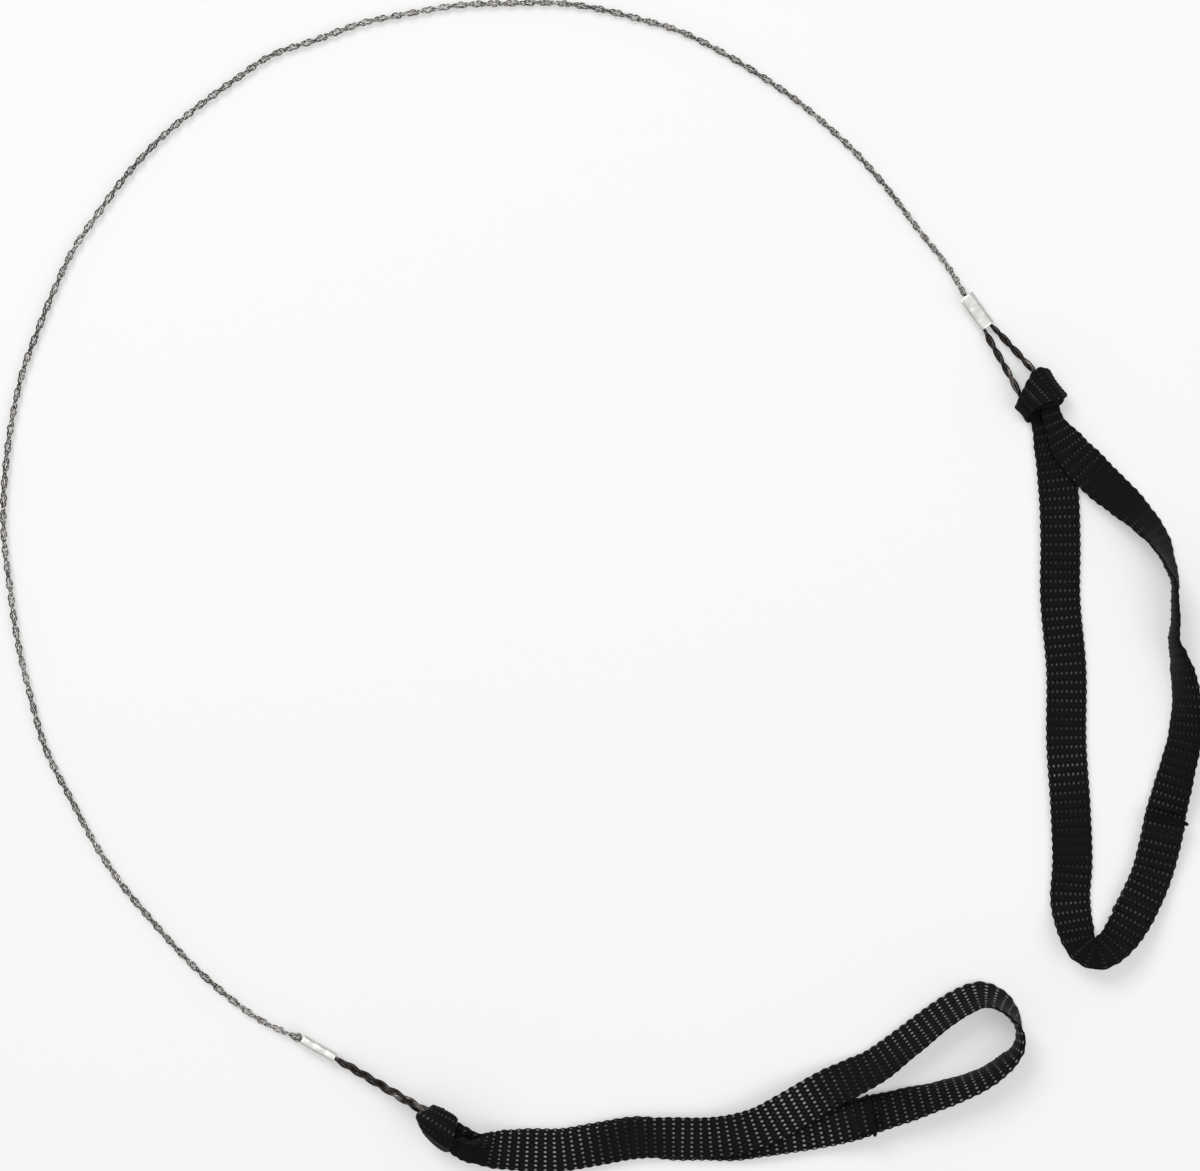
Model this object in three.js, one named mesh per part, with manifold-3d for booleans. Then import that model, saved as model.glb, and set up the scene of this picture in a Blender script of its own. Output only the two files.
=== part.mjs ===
// Hand wire saw: a twisted steel saw wire, a crimped sleeve and a wire eye at each end, and a
// looped webbing handle hitched on each eye. Millimetres, +Z up. It lies on the plane z = 0.
import * as THREE from 'three';
import { mergeVertices } from 'three/addons/utils/BufferGeometryUtils.js';
import Module from 'manifold-3d';

// Driving dimensions.
const WIRE_DIAMETER = 1.6;
const WIRE_SIDES = 8;
const WIRE_STEPS = 80;
const WIRE_STRAIGHT = 0.5;
const WIRE_RISE_B = 1.4;
const SLEEVE = { length: 9.5, width: 4.2, height: 3.0, wall: 0.35, corner: 1.1, grip: 3.6 };
const EYE_RADIUS = 0.95;
const EYE_END_RADIUS = 0.5;
const EYE_HALF_WIDTH = 3.3;
const EYE_CORNER = 1.5;
const EYE_STEP = 1.1;
const EYE_SIDES = 8;
const EYE_NECK = { along: 3, aside: 1.45 };
const WEB_WIDTH = 10;
const WEB_THICKNESS = 1.3;
const GAP = 0.3;
const LAYER = WEB_THICKNESS + GAP;
const WRAP_RADIUS = EYE_RADIUS + GAP + WEB_THICKNESS;
const WRAP_HALF_WIDTH = 1.9;
const SLOT = { back: 8, front: 0.1, halfOver: 9 };
const NECK = { front: 0.8, inset: 0.1 };
const BORE_HALF_LENGTH = 7;
const TACK = { width: 8, webWidth: 7.4, length: 1.8, webLength: 0.6, head: 0.3 };

const UP = new THREE.Vector3(0, 0, 1);

const wasm = await Module();
wasm.setup();

// ---- solids ----

function toSolid(geometry) {
  const bare = geometry.clone();
  bare.deleteAttribute('normal');
  bare.deleteAttribute('uv');
  const merged = mergeVertices(bare, 1e-4);
  const vertProperties = new Float32Array(merged.attributes.position.array);
  const triVerts = new Uint32Array(merged.index.array);
  return new wasm.Manifold(new wasm.Mesh({ numProp: 3, vertProperties, triVerts }));
}

function toGeometry(solid) {
  const mesh = solid.getMesh();
  const geometry = new THREE.BufferGeometry();
  geometry.setAttribute('position', new THREE.BufferAttribute(mesh.vertProperties, 3));
  geometry.setIndex(new THREE.BufferAttribute(mesh.triVerts, 1));
  return geometry;
}

// Layers pressed together can shut small pockets between them, which are filled.
function outerShell(solid) {
  return solid.decompose().sort((a, b) => b.volume() - a.volume())[0];
}

function moveVertices(geometry, place) {
  const position = geometry.attributes.position;
  const point = new THREE.Vector3();
  for (let i = 0; i < position.count; i += 1) {
    point.fromBufferAttribute(position, i);
    const moved = place(point);
    position.setXYZ(i, moved.x, moved.y, moved.z);
  }
  return geometry;
}

// ---- webbing ribbons ----
// A station is [x, y, lift, roll, share]: the middle of the webbing, how far its lower edge is
// above the table, how far its left edge is rolled up (degrees) and the share of the full width.

const radians = THREE.MathUtils.degToRad;

function ribbonAxis(stations) {
  const middle = stations.map(([x, y, lift, roll]) => {
    const tilt = Math.abs(Math.sin(radians(roll))) * WEB_WIDTH / 2;
    const thick = Math.abs(Math.cos(radians(roll))) * WEB_THICKNESS / 2;
    return new THREE.Vector3(x, y, lift + tilt + thick);
  });
  const twist = stations.map(([, , , roll, share = 1]) => new THREE.Vector3(roll, share, 0));
  return { path: new THREE.CatmullRomCurve3(middle), twist };
}

function twistAt(twist, t) {
  const place = Math.min(t, 1 - 1e-9) * (twist.length - 1);
  const i = Math.floor(place);
  return twist[i].clone().lerp(twist[i + 1], THREE.MathUtils.smoothstep(place - i, 0, 1));
}

function ribbonFrame({ path, twist }, along) {
  const t = path.getUtoTmapping(along);
  const origin = path.getPoint(t);
  const tangent = path.getTangent(t);
  const { x: roll, y: share } = twistAt(twist, t);
  const left = new THREE.Vector3().crossVectors(UP, tangent).normalize();
  const across = left.applyAxisAngle(tangent, radians(roll));
  const normal = new THREE.Vector3().crossVectors(tangent, across);
  return { origin, tangent, across, normal, share };
}

function ribbon(stations, stepLength = 4) {
  const axis = ribbonAxis(stations);
  const steps = Math.round(axis.path.getLength() / stepLength);
  const frames = [];
  for (let i = 0; i <= steps; i += 1) frames.push(ribbonFrame(axis, i / steps));
  const strip = new THREE.BoxGeometry(WEB_WIDTH, WEB_THICKNESS, steps, 2, 1, steps);
  return moveVertices(strip, ({ x, y, z }) => {
    const frame = frames[Math.round(z + steps / 2)];
    return frame.origin.clone()
      .addScaledVector(frame.across, x * frame.share)
      .addScaledVector(frame.normal, y);
  });
}

// ---- one end of the saw: sleeve, eye and the knot's place ----
// forward points from the sleeve to the handle. side is the wide way of the sleeve and the eye.

function makeEnd({ mouth, heading, roll, reach, rise }) {
  const forward = new THREE.Vector3(Math.cos(radians(heading)), Math.sin(radians(heading)), 0);
  const level = new THREE.Vector3().crossVectors(UP, forward);
  const side = level.clone().applyAxisAngle(forward, radians(roll));
  const over = new THREE.Vector3().crossVectors(forward, side);
  const bow = mouth.clone().addScaledVector(forward, reach).addScaledVector(UP, rise);
  return { mouth, forward, side, over, reach, rise, bow };
}

function fromMouth(end, along, aside) {
  const climb = end.rise * THREE.MathUtils.smoothstep(along, 0, end.reach);
  return end.mouth.clone()
    .addScaledVector(end.forward, along)
    .addScaledVector(end.side, aside)
    .addScaledVector(UP, climb);
}

function fromBow(end, along, aside, above) {
  return end.bow.clone()
    .addScaledVector(end.forward, along)
    .addScaledVector(end.side, aside)
    .addScaledVector(end.over, above);
}

function roundedRectangle(width, height, corner) {
  const x = width / 2;
  const y = height / 2;
  const outline = new THREE.Shape();
  outline.absarc(x - corner, y - corner, corner, 0, Math.PI / 2);
  outline.absarc(corner - x, y - corner, corner, Math.PI / 2, Math.PI);
  outline.absarc(corner - x, corner - y, corner, Math.PI, Math.PI * 1.5);
  outline.absarc(x - corner, corner - y, corner, Math.PI * 1.5, Math.PI * 2);
  return outline;
}

function sleeveGeometry(end) {
  const { length, width, height, wall, corner } = SLEEVE;
  const outline = roundedRectangle(width, height, corner);
  outline.holes.push(roundedRectangle(width - 2 * wall, height - 2 * wall, corner - wall));
  const tube = new THREE.ExtrudeGeometry(outline, { depth: length, bevelEnabled: false, curveSegments: 5 });
  const basis = new THREE.Matrix4().makeBasis(end.side, end.over, end.forward);
  basis.setPosition(end.mouth.clone().addScaledVector(end.forward, -length));
  return tube.applyMatrix4(basis);
}

function eyeGeometry(end) {
  const { reach } = end;
  const straight = EYE_HALF_WIDTH - EYE_CORNER;
  const half = [[-SLEEVE.grip, 0.85], [-0.5, 0.95], [EYE_NECK.along, EYE_NECK.aside]];
  for (const share of [0.35, 0.65]) {
    half.push([
      THREE.MathUtils.lerp(EYE_NECK.along, reach - EYE_CORNER, share),
      THREE.MathUtils.lerp(EYE_NECK.aside, EYE_HALF_WIDTH, share),
    ]);
  }
  for (const turn of [0, 45, 90]) {
    const angle = radians(turn);
    half.push([reach - EYE_CORNER + EYE_CORNER * Math.sin(angle), straight + EYE_CORNER * Math.cos(angle)]);
  }
  const wholeRoute = [...half, [reach, 0], ...half.map(([along, aside]) => [along, -aside]).reverse()];
  const path = new THREE.CatmullRomCurve3(wholeRoute.map(([along, aside]) => fromMouth(end, along, aside)));
  const steps = Math.round(path.getLength() / EYE_STEP);
  const frames = path.computeFrenetFrames(steps, false);
  const length = path.getLength();
  const rod = new THREE.CylinderGeometry(1, 1, steps, EYE_SIDES, steps);
  return moveVertices(rod, ({ x, y, z }) => {
    const i = Math.round(steps / 2 - y);
    const fromEnd = Math.min(i, steps - i) / steps * length;
    const swell = THREE.MathUtils.smoothstep(fromEnd, SLEEVE.grip, SLEEVE.grip + 3);
    const radius = THREE.MathUtils.lerp(EYE_END_RADIUS, EYE_RADIUS, swell);
    return path.getPointAt(i / steps)
      .addScaledVector(frames.normals[i], x * radius)
      .addScaledVector(frames.binormals[i], z * radius);
  });
}

// ---- the hitch: a lofted knot with a wrap round the eye's bow ----
// A knot section is [along, low side, high side, low over, high over], from the bow's middle.

function knotGeometry(end, sections) {
  const steps = sections.length - 1;
  const body = new THREE.CylinderGeometry(1, 1, steps, 20, steps);
  return moveVertices(body, ({ x, y, z }) => {
    const [along, side0, side1, over0, over1] = sections[Math.round(y + steps / 2)];
    const squarer = (value) => Math.sign(value) * Math.abs(value) ** 0.75;
    const aside = (side0 + side1) / 2 + squarer(z) * (side1 - side0) / 2;
    const above = (over0 + over1) / 2 + squarer(x) * (over1 - over0) / 2;
    return fromBow(end, along, aside, above);
  });
}

function rodAlongBow(end, radius, halfWidth) {
  const rod = new THREE.CylinderGeometry(radius, radius, 2 * halfWidth, 24);
  return moveVertices(rod, ({ x, y, z }) => fromBow(end, z, y, -x));
}

function boxAtBow(end, [along0, along1], halfSide, halfOver) {
  const block = new THREE.BoxGeometry(along1 - along0, 2 * halfSide, 2 * halfOver);
  return moveVertices(block, ({ x, y, z }) => fromBow(end, x + (along0 + along1) / 2, y, z));
}

function knotSolid(end, sections) {
  const bore = EYE_RADIUS + GAP;
  const clear = boxAtBow(end, [-SLOT.back, bore + SLOT.front], EYE_HALF_WIDTH + bore, SLOT.halfOver);
  const wrap = rodAlongBow(end, WRAP_RADIUS, WRAP_HALF_WIDTH);
  const neck = boxAtBow(end, [0, bore + NECK.front], WRAP_HALF_WIDTH, WRAP_RADIUS - NECK.inset);
  return toSolid(knotGeometry(end, sections))
    .subtract(toSolid(clear))
    .add(toSolid(wrap))
    .add(toSolid(neck))
    .subtract(toSolid(rodAlongBow(end, bore, BORE_HALF_LENGTH)));
}

// ---- stitched overlap ----
// A bar tack's section is an H across the two layers: a head on each face and a web between.

function tackSolid({ origin, tangent, across, normal }, grow) {
  const low = -WEB_THICKNESS / 2;
  const high = LAYER + WEB_THICKNESS / 2;
  const block = (length, width, from, to) => {
    const box = new THREE.BoxGeometry(length + 2 * grow, width + 2 * grow, to - from);
    return toSolid(moveVertices(box, ({ x, y, z }) => origin.clone()
      .addScaledVector(tangent, x)
      .addScaledVector(across, y)
      .addScaledVector(normal, z + (from + to) / 2)));
  };
  const reach = grow > 0 ? 1 : 0;
  return block(TACK.length, TACK.width, low - reach, low + TACK.head + grow)
    .add(block(TACK.webLength, TACK.webWidth, low - reach, high + reach))
    .add(block(TACK.length, TACK.width, high - TACK.head - grow, high + reach));
}

function makeHandle({ end, inward, outward, sections, tacks }) {
  const lower = ribbonAxis(outward);
  const frames = tacks.map((share) => ribbonFrame(lower, share));
  let strap = toSolid(ribbon(inward)).add(toSolid(ribbon(outward))).add(knotSolid(end, sections));
  for (const frame of frames) strap = strap.subtract(tackSolid(frame, GAP));
  return { strap: outerShell(strap), tacks: frames.map((frame) => tackSolid(frame, 0)) };
}

// ---- routes, chosen by hand ----

const WIRE_ROUTE = [
  [50.5, 116], [43, 125.5], [35, 136], [26, 146], [13.5, 157], [3.5, 164],
  [-6.5, 170], [-16.5, 175], [-26.5, 178], [-36.5, 180.5], [-46.5, 182], [-59, 182], [-71.5, 181.5],
  [-84, 179.5], [-96, 177], [-107, 173], [-118.5, 169], [-127.5, 163], [-136.5, 156.5],
  [-146, 148.5], [-154, 140], [-161.5, 130], [-168, 120.5], [-173, 110], [-177, 100], [-180.5, 90.5],
  [-183, 80], [-185, 65.5], [-185.5, 50.5], [-184, 37], [-182, 23], [-179, 10], [-175, -4],
  [-168.5, -17], [-162, -29], [-156, -38], [-148.5, -47], [-138.5, -58], [-129.5, -66],
  [-121, -72],
];

// The handle beside the long side of the ring. inward runs from the outer cut end round the far
// bend to the hitch, and outward from the hitch to the inner cut end, under the first.
const HANDLE_A = {
  inward: [
    [104.5, -21, LAYER, 14], [103, -28.5, LAYER, 6], [101, -36, LAYER, 0], [98, -42.5, LAYER, 8],
    [95, -48, 0.8, 24], [91, -53, 0.2, 40], [87, -55, 0, 47], [83.5, -53, 0, 36],
    [82, -48.5, 0, 16], [81, -42, 0, 0], [81.5, -32.5, 0, 0], [81, -18.5, 0, 0],
    [80, -3, 0, 0], [80, 15, 0, 0], [78.5, 33, 0, 0], [78.5, 48, 0, 0],
    [78, 60.5, 0, 0], [76.5, 70.5, 0, 0, 0.9], [75, 77, 0, 0, 0.75], [73.5, 82, 0, 0, 0.6],
  ],
  outward: [
    [75, 82.5, 2.0, 180, 0.5], [76.5, 78, 1.7, 180, 0.5], [80.5, 71, 1.6, 180, 0.9], [85, 66, 1.2, 178],
    [89, 62, 0.4, 170], [93.5, 58, 0, 158], [99, 52.5, 0, 140], [102.5, 48, 0, 129],
    [105, 42, 0, 113], [106.5, 37.5, 0, 103], [106.5, 33, 0, 97], [106.5, 27.5, 0, 93],
    [106, 23, 0, 88], [107, 19, 0, 76], [108, 15, 0, 63], [109, 9, 0, 56],
    [109, -1, 0, 43], [107.5, -8, 0, 38], [106, -14.5, 0, 28], [104.5, -21, 0, 14],
    [103, -28.5, 0, 6], [101, -36, 0, 0], [98, -42.5, 0, 8], [95.5, -47, 0, 14],
  ],
  sections: [
    [-4.2, 3.5, 5.6, -1.0, 1.0], [-2.5, -3.5, 6.3, -1.9, 1.8], [-1, -5.6, 6.4, -2.2, 2.3],
    [1.5, -6.2, 6.2, -2.5, 2.8], [4, -6.4, 5.9, -2.6, 3.0], [6.6, -6.0, 5.5, -2.6, 3.0],
    [8.5, -4.6, 4.2, -2.5, 2.6], [9.6, -3, 1.9, -2.2, 1.8],
  ],
  tacks: [0.835, 0.965],
};

// The handle at the open end of the ring, which stands on its edge at the far bend.
const HANDLE_B = {
  inward: [
    [31.5, -95, LAYER, 30], [25, -97, LAYER, 12], [16.5, -99, LAYER, 0], [10, -100, LAYER, 0],
    [3, -101, LAYER, 0], [-3, -102, 0.7, 0], [-10, -102, 0, 0], [-18, -102, 0, 0],
    [-27, -101, 0, 0], [-37, -102.5, 0, 0], [-46, -104, 0, 0], [-54, -104, 0, 0],
    [-60, -104, 0, -8], [-65.5, -103, 0, -30], [-70, -100.5, 0, -60, 0.9], [-73.5, -98, 0, -80, 0.8],
  ],
  outward: [
    [-74, -99.5, 0.3, 270, 0.8], [-70.5, -102, 0.8, 242, 0.9], [-66, -103.5, 1.4, 211],
    [-61, -104, LAYER, 188], [-54, -104.5, LAYER, 180], [-46.5, -104.5, LAYER, 180],
    [-37, -103, LAYER, 180], [-28.5, -101.5, LAYER, 180], [-20, -101, LAYER, 180], [-10, -101, 1.8, 180],
    [-3, -100, 2.8, 180], [3.5, -98, 3.2, 180], [11, -94, 3.2, 178], [20, -89, 1.6, 166],
    [26, -86, 0.6, 152], [32, -83, 0, 142], [40, -77, 0, 134], [49, -70, 0, 128],
    [54, -67, 0, 126], [58.5, -65.5, 0, 123], [63, -67, 0, 116], [66, -70, 0, 106],
    [67.5, -72.5, 0, 97], [68, -75.5, 0, 90], [67, -79, 0, 84], [64, -82, 0, 74],
    [60, -85, 0, 70], [56, -87, 0, 65], [48, -90, 0, 56], [38.5, -93, 0, 40],
    [31.5, -95, 0, 30], [25, -97, 0, 12], [16.5, -99, 0, 0], [10, -100, 0, 0],
    [4.5, -101, 0, 0],
  ],
  sections: [
    [1.2, -4.4, 4.4, -1.9, 4.2], [4.6, -4.6, 4.5, -2.1, 5.0], [7.5, -4.5, 4.2, -2.0, 4.9],
    [10, -4.2, 3.5, -1.8, 4.3],
  ],
  tacks: [0.895, 0.975],
};

// ---- assembly ----

const END_A = makeEnd({
  mouth: new THREE.Vector3(60.2, 101.1, SLEEVE.height / 2), heading: -54.5, roll: 0, reach: 20.5, rise: 1.3,
});
const END_B = makeEnd({
  mouth: new THREE.Vector3(-102.6, -81.3, 2.15), heading: -29.5, roll: 75, reach: 28.5, rise: 2.6,
});

function wireGeometry() {
  const inset = SLEEVE.length - SLEEVE.grip;
  const inSleeve = (end, back) => end.mouth.clone().addScaledVector(end.forward, -back);
  const lying = WIRE_ROUTE.map(([x, y]) => new THREE.Vector3(x, y, WIRE_DIAMETER / 2));
  lying.at(-1).z = WIRE_RISE_B;
  const route = [
    inSleeve(END_A, inset), inSleeve(END_A, SLEEVE.length - WIRE_STRAIGHT),
    ...lying,
    inSleeve(END_B, SLEEVE.length - WIRE_STRAIGHT), inSleeve(END_B, inset),
  ];
  const path = new THREE.CatmullRomCurve3(route);
  const section = new THREE.Shape();
  for (let i = 0; i < WIRE_SIDES; i += 1) {
    const angle = (i / WIRE_SIDES) * 2 * Math.PI;
    const x = Math.cos(angle) * WIRE_DIAMETER / 2;
    const y = Math.sin(angle) * WIRE_DIAMETER / 2;
    if (i === 0) section.moveTo(x, y);
    else section.lineTo(x, y);
  }
  section.closePath();
  return new THREE.ExtrudeGeometry(section, { steps: WIRE_STEPS, extrudePath: path, bevelEnabled: false });
}

const finishes = {
  wire: { color: 0x5a5650, roughness: 0.4, metalness: 1 },
  sleeve: { color: 0xd6d4cc, roughness: 0.35, metalness: 1 },
  eye: { color: 0x2e2b29, roughness: 0.4, metalness: 0.6 },
  webbing: { color: 0x151517, roughness: 0.85, metalness: 0 },
  thread: { color: 0x0e0e10, roughness: 0.7, metalness: 0 },
};

const group = new THREE.Group();

function addPiece(name, geometry, finish) {
  const piece = new THREE.Mesh(geometry, new THREE.MeshStandardMaterial(finishes[finish]));
  piece.name = name;
  group.add(piece);
}

addPiece('saw_wire', wireGeometry(), 'wire');
for (const [letter, end, handle] of [['a', END_A, HANDLE_A], ['b', END_B, HANDLE_B]]) {
  addPiece(`crimp_sleeve_${letter}`, sleeveGeometry(end), 'sleeve');
  addPiece(`wire_eye_${letter}`, eyeGeometry(end), 'eye');
  const made = makeHandle({ end, ...handle });
  addPiece(`webbing_strap_${letter}`, toGeometry(made.strap), 'webbing');
  made.tacks.forEach((tack, i) => addPiece(`bar_tack_${letter}_${i + 1}`, toGeometry(tack), 'thread'));
}

export default group;
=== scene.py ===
"""Hand wire saw: twisted saw wire, two pressed sleeves, two wire eyes and two webbing handles.

Everything is in metres, in the frame of the CAD model, which lies on z = 0.
"""
import math
import random

import bpy
import numpy as np
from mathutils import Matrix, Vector


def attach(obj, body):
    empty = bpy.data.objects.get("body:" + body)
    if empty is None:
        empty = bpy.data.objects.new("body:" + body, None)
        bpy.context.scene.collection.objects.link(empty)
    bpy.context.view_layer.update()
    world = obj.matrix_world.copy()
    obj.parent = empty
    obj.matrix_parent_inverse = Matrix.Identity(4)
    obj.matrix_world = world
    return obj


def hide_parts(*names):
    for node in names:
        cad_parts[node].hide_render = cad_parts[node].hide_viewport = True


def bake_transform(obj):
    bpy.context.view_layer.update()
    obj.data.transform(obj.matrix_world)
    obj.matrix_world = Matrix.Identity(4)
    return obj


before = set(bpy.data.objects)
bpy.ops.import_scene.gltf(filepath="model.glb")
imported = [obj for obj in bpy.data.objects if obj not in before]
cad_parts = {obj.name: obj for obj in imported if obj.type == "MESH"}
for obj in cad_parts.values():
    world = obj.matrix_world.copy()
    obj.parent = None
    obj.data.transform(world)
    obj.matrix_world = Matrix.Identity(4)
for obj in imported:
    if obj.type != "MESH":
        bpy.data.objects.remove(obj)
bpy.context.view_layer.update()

UP = np.array([0.0, 0.0, 1.0])

# ---- driving sizes, metres unless said otherwise ----
VIEW_CENTRE = (-0.0365, 0.0366)
VIEW_WIDTH = 0.300
LENS, SENSOR = 100.0, 36.0  # millimetres
FLOOR_SIZE = 4.0
FLOOR_Z = -0.0005
FLOOR_GREY = 0.55
FLOOR_GLOW = 0.31
SKY_STRENGTH = 0.75

# A wave is its radians a metre, its phase and its height.
# An easing is its height at the start and the distance in which it dies away.

# The saw wire is two strands, each of a pair of fine wires.
WIRE_Z = 0.0008
WIRE_RISE_B = 0.0014
WIRE_TURN = 0.0084
FINE_WIRE = 0.00019
STRAND_OFFSET = 0.00047
PAIR_OFFSET = 0.00026
PAIR_TURN = 0.0037
WIRE_WIDTH = 2 * (STRAND_OFFSET + PAIR_OFFSET + FINE_WIRE)
WIRE_LIFT = WIRE_WIDTH / 2 - WIRE_Z
WIRE_LIFT_EASE = 0.02  # share of the length at each end
WIRE_STRAIGHT = 0.0005
WIRE_STEP = 0.00024
WIRE_SIDES = 7
LAY_WAVE, LAY_EASING = (31.0, 0.0, 0.35), (0.9, 0.02)  # turns
TIGHT_WAVE, TIGHT_EASING = (173.0, 0.0, 0.06), (0.25, 0.03)  # shares
CURL_ANGLE = 2.6 * math.pi
CURL_RADIUS = 0.00095
CURL_WOBBLE = 0.00012
CURL_CLIMB = 0.00013  # a radian
CURL_WIRE = 0.00016
CURL_PAST_SLEEVE = 0.0013
CURL_LIFT = 0.0001

SLEEVE_LENGTH = 0.0095
SLEEVE_HALF = (0.0021, 0.0015)
SLEEVE_WALL = 0.00035
SLEEVE_GRIP = 0.0036
SLEEVE_NIP = 0.0011
SLEEVE_SIDES = 72
SLEEVE_ROUNDNESS = 0.62
SLEEVE_WAVE = (1900, 0.006)  # radians a metre, share of the half width
# Distance from an end, and share of the wall cut away there.
SLEEVE_RIM = ((0.0, 0.62), (0.00008, 0.3), (0.0002, 0.1), (0.0004, 0.0))
SLEEVE_BORE = ((0.00003, 0.8), (0.0002, 1.0))
SLEEVE_FLAT = 0.0008
PRESS_MARKS = (0.0030, 0.0064)
PRESS_WIDTH = 0.0007
PRESS_DEPTH = 0.00007

# A wire eye is two strands, and shallow spiral ridges are a strand's own fine wires.
EYE_STRAND = 0.00050
EYE_OFFSET = 0.00040
EYE_TURN = 0.0086
EYE_HALF_WIDTH = 0.0033
EYE_CORNER = 0.0015
EYE_NECK = (0.003, 0.00145)
EYE_START = ((-SLEEVE_GRIP, 0.00085), (-0.0005, 0.00095), EYE_NECK)
EYE_STEP = 0.0002
EYE_EASE = 0.003
EYE_SIDES = 18
EYE_RIDGES = 6
EYE_RIDGE_TURN = 0.012
EYE_RIDGE_HEIGHT = 0.07  # share of the strand
EYE_BARE_FROM = 0.62  # share of the eye's reach
EYE_BARE_EASE = 0.004

WEB_WIDTH = 0.010
WEB_THICKNESS = 0.0013
LAYER = 0.0016
RIB_PITCH = 0.0023
FLOAT_PITCH = 0.00115
FLOAT_POWER = 1.5
BOLD_POWER = 1.1
FAINT_POWER = 2.2
FAINT_HEIGHT = 0.8
FAINT_ROW = 0.34
FLOAT_HEIGHT = 0.00015
RIB_HEIGHT = 0.00011
SCALLOP = 0.026
WEB_WAVES = ((97.0, 0.0, 0.00010), (211.0, 1.3, 0.00006))
EDGE_CROWDING = 0.25
EDGE_FADE = 0.05
EDGE_POWER = 8
CUP = 0.0011
CUP_FULL = 0.8
BAND_BULGE = 0.0005
# Painted float highlight on the hitch bands: its least strength, and where along a band it peaks.
BAND_GLINT_LEAST = 0.3
BAND_GLINT = (0.47, 0.17)  # shares of the band: middle and reach
END_BUMP = (0.00035, 0.0016)
WEB_STEP = 0.00029
WEB_CELLS = 68

LIP_FROM, LIP_TO, LIP_ROUNDING = -0.0052, 0.0058, 0.0059
LIP_RADIUS = 0.00055
LIP_LUMPS = ((2600, 0, 0.00007), (6100, 1, 0.00004))
LIP_SIDES = 14

STITCHES = 26
STITCH_REACH = 0.0039
STITCH_HALF = 0.0008
STITCH_PULL = 0.00008
STITCH_PROUD = 0.00003
THREAD = 0.00010
THREAD_SIDES = 6

FRAY_SEED = 11
FRAY_COUNTS = (16, 12)  # at the inward and the outward end of a strap
FRAY_PLACE = 0.0047
FRAY_DEPTH = 0.0004
FRAY_REACH = (0.0006, 0.0022)
FRAY_LEAN = 0.7
FRAY_LIFT = 0.6
FRAY_RADIUS = 0.00007
FRAY_SIDES = 5
# The fray threads' place on the nylon's painted float highlight.
FRAY_CROWN = 0.2

# Where each handle's bar tacks sit.
TACKS = {"a": (0.835, 0.965), "b": (0.895, 0.975)}  # shares of the outward ribbon
# Strength of the painted float highlight on each strap.
STRAP_GLINT = {"a": 0.72, "b": 1.2}

# ---- routes, the same as the CAD model's ----
# A strap's station is x, y, lift of its lower edge, roll in degrees, share of the full width.
WIRE_ROUTE = [
    (0.0505, 0.116), (0.043, 0.1255), (0.035, 0.136), (0.026, 0.146), (0.0135, 0.157),
    (0.0035, 0.164), (-0.0065, 0.17), (-0.0165, 0.175), (-0.0265, 0.178), (-0.0365, 0.1805),
    (-0.0465, 0.182), (-0.059, 0.182), (-0.0715, 0.1815), (-0.084, 0.1795), (-0.096, 0.177),
    (-0.107, 0.173), (-0.1185, 0.169), (-0.1275, 0.163), (-0.1365, 0.1565), (-0.146, 0.1485),
    (-0.154, 0.14), (-0.1615, 0.13), (-0.168, 0.1205), (-0.173, 0.11), (-0.177, 0.1),
    (-0.1805, 0.0905), (-0.183, 0.08), (-0.185, 0.0655), (-0.1855, 0.0505), (-0.184, 0.037),
    (-0.182, 0.023), (-0.179, 0.01), (-0.175, -0.004), (-0.1685, -0.017), (-0.162, -0.029),
    (-0.156, -0.038), (-0.1485, -0.047), (-0.1385, -0.058), (-0.1295, -0.066), (-0.121, -0.072),
]
HANDLE_A_INWARD = [
    (0.1045, -0.021, 0.0016, 14), (0.103, -0.0285, 0.0016, 6), (0.101, -0.036, 0.0016, 0),
    (0.098, -0.0425, 0.0016, 8), (0.095, -0.048, 0.0008, 24), (0.091, -0.053, 0.0002, 40),
    (0.087, -0.055, 0, 47), (0.0835, -0.053, 0, 36), (0.082, -0.0485, 0, 16),
    (0.081, -0.042, 0, 0), (0.0815, -0.0325, 0, 0), (0.081, -0.0185, 0, 0), (0.08, -0.003, 0, 0),
    (0.08, 0.015, 0, 0), (0.0785, 0.033, 0, 0), (0.0785, 0.048, 0, 0), (0.078, 0.0605, 0, 0),
    (0.0765, 0.0705, 0, 0, 0.9), (0.075, 0.077, 0, 0, 0.75), (0.0735, 0.082, 0, 0, 0.6),
]
HANDLE_A_OUTWARD = [
    (0.075, 0.0825, 0.002, 180, 0.5), (0.0765, 0.078, 0.0017, 180, 0.5),
    (0.0805, 0.071, 0.0016, 180, 0.9), (0.085, 0.066, 0.0012, 178), (0.089, 0.062, 0.0004, 170),
    (0.0935, 0.058, 0, 158), (0.099, 0.0525, 0, 140), (0.1025, 0.048, 0, 129),
    (0.105, 0.042, 0, 113), (0.1065, 0.0375, 0, 103), (0.1065, 0.033, 0, 97),
    (0.1065, 0.0275, 0, 93), (0.106, 0.023, 0, 88), (0.107, 0.019, 0, 76), (0.108, 0.015, 0, 63),
    (0.109, 0.009, 0, 56), (0.109, -0.001, 0, 43), (0.1075, -0.008, 0, 38),
    (0.106, -0.0145, 0, 28), (0.1045, -0.021, 0, 14), (0.103, -0.0285, 0, 6),
    (0.101, -0.036, 0, 0), (0.098, -0.0425, 0, 8), (0.0955, -0.047, 0, 14),
]
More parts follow.
